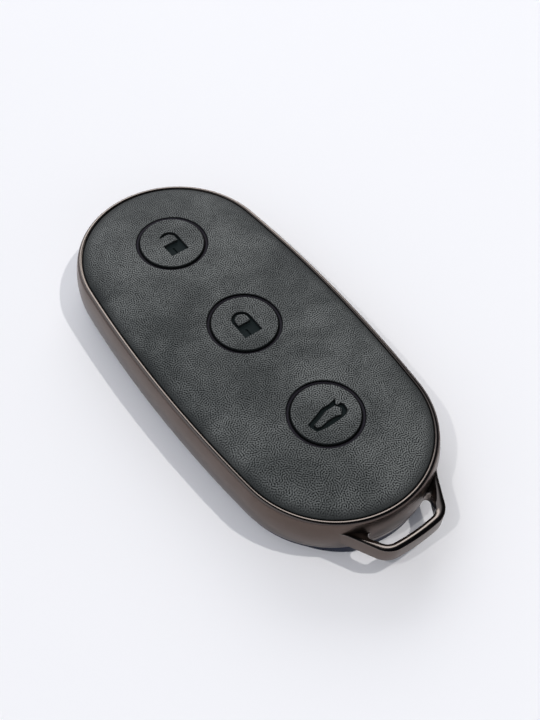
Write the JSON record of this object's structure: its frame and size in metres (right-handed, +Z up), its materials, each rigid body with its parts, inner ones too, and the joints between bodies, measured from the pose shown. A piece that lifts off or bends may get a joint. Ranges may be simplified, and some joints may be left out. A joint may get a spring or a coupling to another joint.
{
  "type": "key fob cover",
  "caption": "Pill-shaped protective cover for a car key fob: leather face in a bronze metal frame with a key loop, press keys with pictograms, and a moulded rear half.",
  "frame": {"origin": "middle of the flat leather back, the face that the cover rests on", "axes": "+Z up out of the leather face, +Y along the length away from the key loop, +X across to the right as the pictograms are read"},
  "size_m": [0.043, 0.0947, 0.0136],
  "materials": {
    "bronze_metal": "satin bronze plating on a die casting, with a polished rim and polished chamfers",
    "black_bead": "black, smooth",
    "grained_leather": "dark grey grained leather, mottled, half matt",
    "back_leather": "dark grey grained leather, half matt",
    "adhesive_film": "thin double-sided adhesive film",
    "carrier_plastic": "black moulded plastic, fine texture",
    "soft_lining": "dark grey flocked lining",
    "silicone": "black silicone, matt",
    "key_plastic": "black plastic with a smooth satin surface",
    "rear_plastic": "navy-black moulded plastic, satin"
  },
  "bodies": {
    "rear_half": {"rear_cover": "rear_plastic", "snap_tabs": "rear_plastic", "end_tongue": "bronze_metal", "rear_liner": "soft_lining", "side_pads": "soft_lining", "rear_adhesive": "adhesive_film", "rear_leather": "back_leather"},
    "front_half": {"front_frame": "bronze_metal", "edge_bead": "black_bead", "face_leather": "grained_leather", "face_adhesive": "adhesive_film", "front_carrier": "carrier_plastic", "front_liner": "soft_lining", "keypad_sheet": "silicone", "unlock_dome": "silicone", "lock_dome": "silicone", "tailgate_dome": "silicone"},
    "unlock_key": {"unlock_cap": "key_plastic", "unlock_adhesive": "adhesive_film", "unlock_disc": "grained_leather"},
    "lock_key": {"lock_cap": "key_plastic", "lock_adhesive": "adhesive_film", "lock_disc": "grained_leather"},
    "tailgate_key": {"tailgate_cap": "key_plastic", "tailgate_adhesive": "adhesive_film", "tailgate_disc": "grained_leather"}
  },
  "joints": [
    {"name": "face_lift", "type": "slide", "parent": "rear_half", "child": "front_half", "axis": [0, 0, 1], "range_m": [0, 0.02], "deforming": ["snap_tabs"]},
    {"name": "unlock_press", "type": "slide", "parent": "front_half", "child": "unlock_key", "axis": [0, 0, -1], "range_m": [0, 0.0005], "stiffness_N_per_m": 400, "springref_m": -0.0002, "deforming": ["unlock_dome"]},
    {"name": "lock_press", "type": "slide", "parent": "front_half", "child": "lock_key", "axis": [0, 0, -1], "range_m": [0, 0.0005], "stiffness_N_per_m": 400, "springref_m": -0.0002, "deforming": ["lock_dome"]},
    {"name": "tailgate_press", "type": "slide", "parent": "front_half", "child": "tailgate_key", "axis": [0, 0, -1], "range_m": [0, 0.0005], "stiffness_N_per_m": 400, "springref_m": -0.0002, "deforming": ["tailgate_dome"]}
  ]
}
